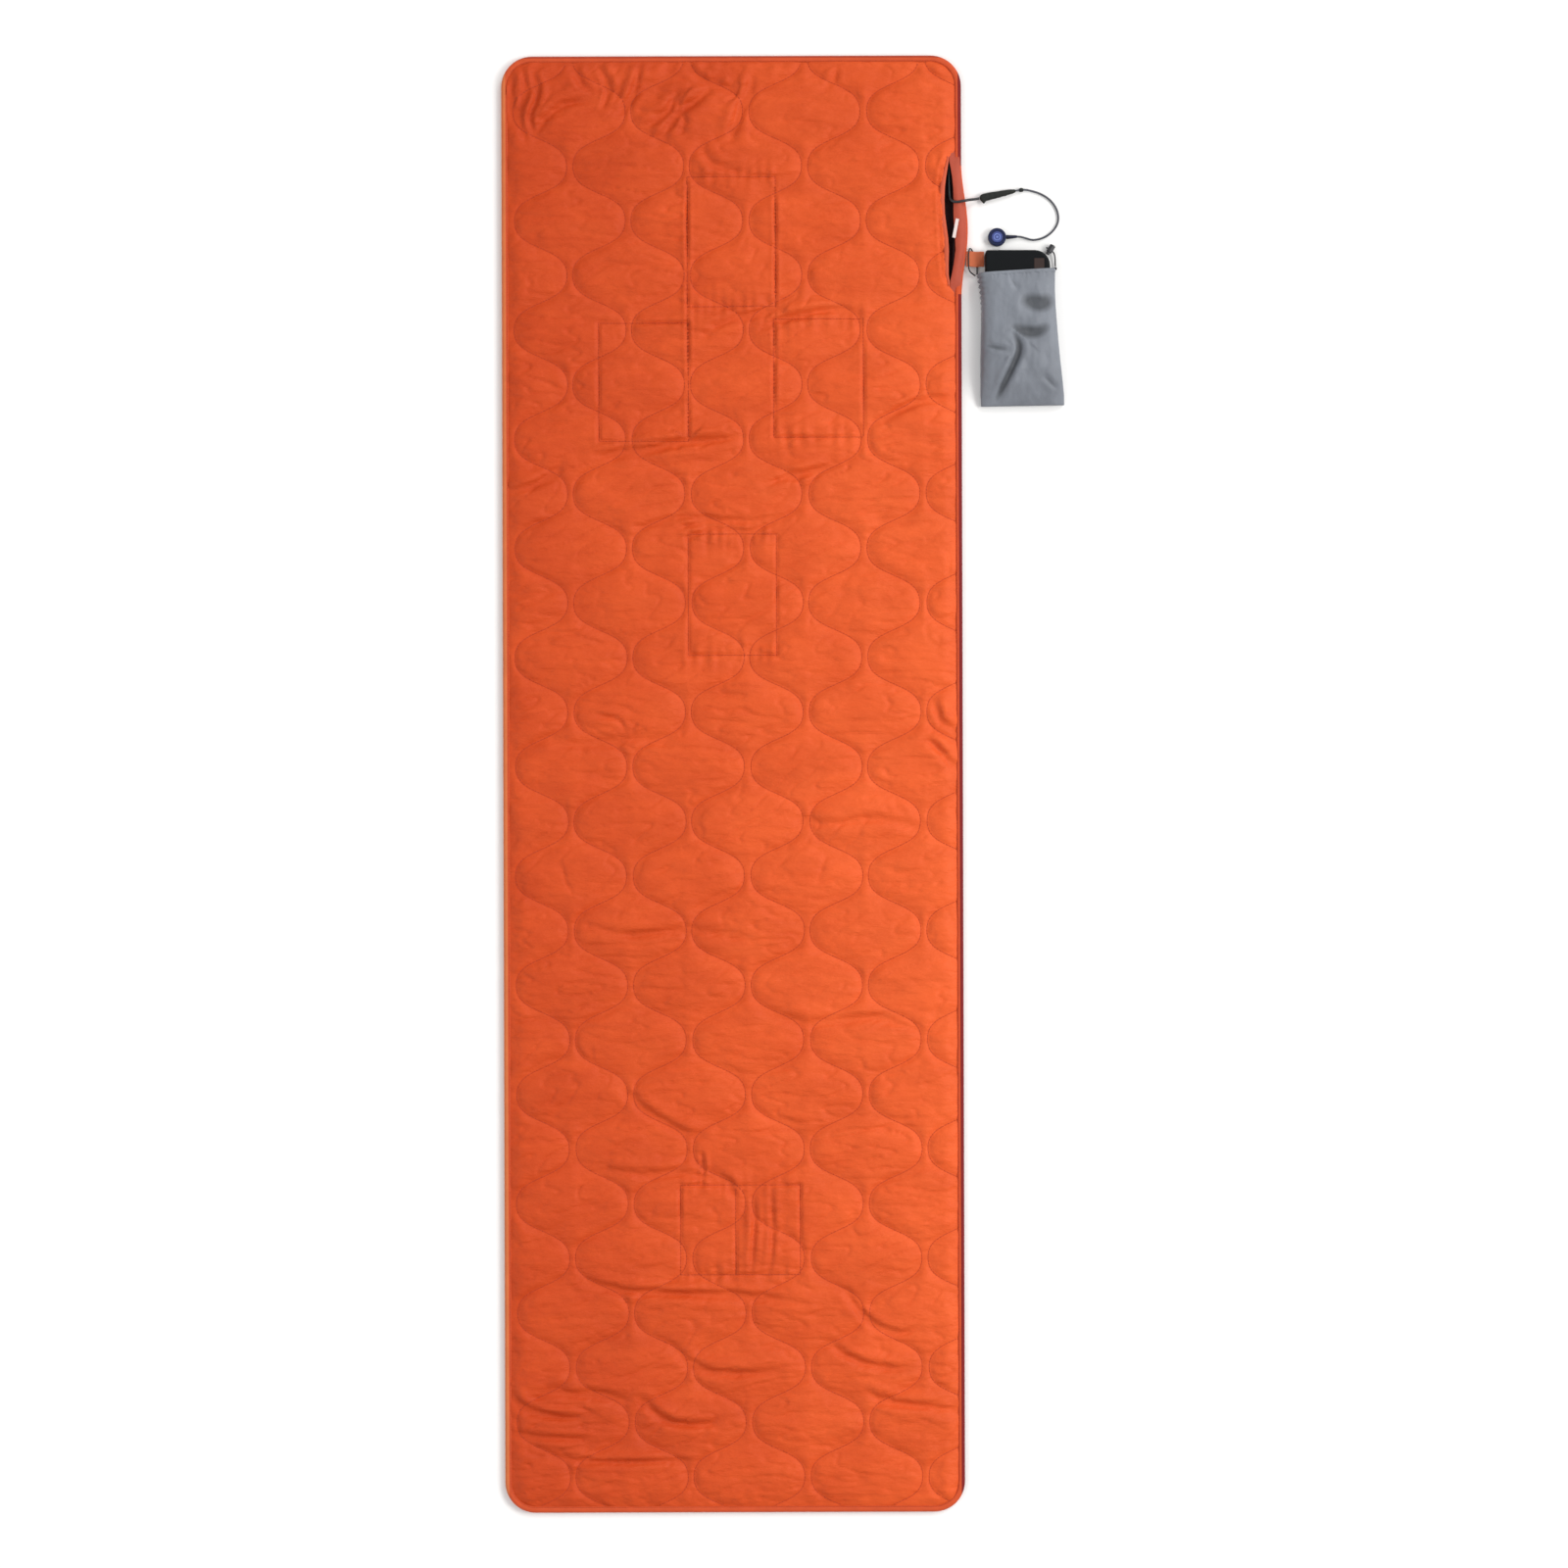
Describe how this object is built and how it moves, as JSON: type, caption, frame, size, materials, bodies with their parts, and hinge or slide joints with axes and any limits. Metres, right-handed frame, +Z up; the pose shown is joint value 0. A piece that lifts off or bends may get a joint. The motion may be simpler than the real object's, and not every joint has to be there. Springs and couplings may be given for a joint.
{
  "type": "infrared sauna mat",
  "caption": "Flat quilted heated mat with bound edges and a slit pocket, a round wired controller, and a power bank in a drawstring pouch tied to a webbing tab.",
  "frame": {"origin": "centre of the mat's underside, on the surface it lies on", "axes": "+X towards the pocket side, +Y towards the head end, +Z up"},
  "size_m": [0.7335, 1.9, 0.0256],
  "materials": {
    "cover": "woven taffeta, slight sheen",
    "lining": "plain matt weave",
    "batting": "lofted fibre wadding",
    "binding": "folded woven tape",
    "welt": "folded cover fabric",
    "heater": "carbon fibre heating pad",
    "harness": "flat insulated ribbon",
    "label": "white woven tape, blank",
    "webbing": "woven webbing",
    "lead": "smooth black jacket",
    "sleeve": "matt black sleeve",
    "shell": "fine moulded grain",
    "bezel": "satin moulded",
    "button": "satin blue cap",
    "board": "solder-masked laminate",
    "switch": "moulded",
    "bank": "fine grained black",
    "cell": "laminated foil",
    "window": "smoked and glossy",
    "metal": "bright",
    "pouch": "grey drawstring cloth",
    "string": "braided black string",
    "lock": "moulded black"
  },
  "bodies": {
    "root": {"top_cover": "cover", "back_cover": "lining", "pocket_bag": "lining", "batting": "batting", "edge_binding": "binding", "welt_inner": "welt", "welt_outer": "welt", "heater_upper_back": "heater", "heater_left_shoulder": "heater", "heater_right_shoulder": "heater", "heater_lumbar": "heater", "heater_feet": "heater", "harness_feed": "harness", "harness_back": "harness", "harness_feet": "harness", "care_label": "label", "webbing_tab": "webbing", "lead_gland": "lead", "pocket_lead": "lead", "controller_cord": "lead", "lead_sleeve": "sleeve", "lead_bead": "sleeve", "controller_base": "shell", "controller_relief": "shell", "controller_bezel": "bezel", "controller_board": "board", "controller_switch": "switch", "lock_spring": "metal", "pouch": "pouch", "drawstring_loop": "string", "drawstring_tail": "string", "string_knot": "string", "lock_body": "lock"},
    "power_bank": {"bank_lower_shell": "bank", "bank_upper_shell": "bank", "bank_cell_lower": "cell", "bank_cell_upper": "cell", "bank_board": "board", "bank_port": "metal", "bank_switch": "switch", "bank_window": "window"},
    "bank_button": {"bank_button": "switch"},
    "controller_button": {"controller_button": "button"},
    "lock_plunger": {"lock_plunger": "lock"}
  },
  "joints": [
    {"name": "bank_slide", "type": "slide", "parent": "root", "child": "power_bank", "axis": [0, -1, 0], "range_m": [0, 0.03]},
    {"name": "bank_button_press", "type": "slide", "parent": "power_bank", "child": "bank_button", "axis": [0, -1, 0], "range_m": [0, 0.0006], "stiffness_N_per_m": 1200},
    {"name": "controller_button_press", "type": "slide", "parent": "root", "child": "controller_button", "axis": [0, 0, -1], "range_m": [0, 0.0008], "stiffness_N_per_m": 1200},
    {"name": "lock_press", "type": "slide", "parent": "root", "child": "lock_plunger", "axis": [0.5446, 0.8387, 0], "range_m": [0, 0.002], "stiffness_N_per_m": 600, "deforming": ["lock_spring"]}
  ]
}
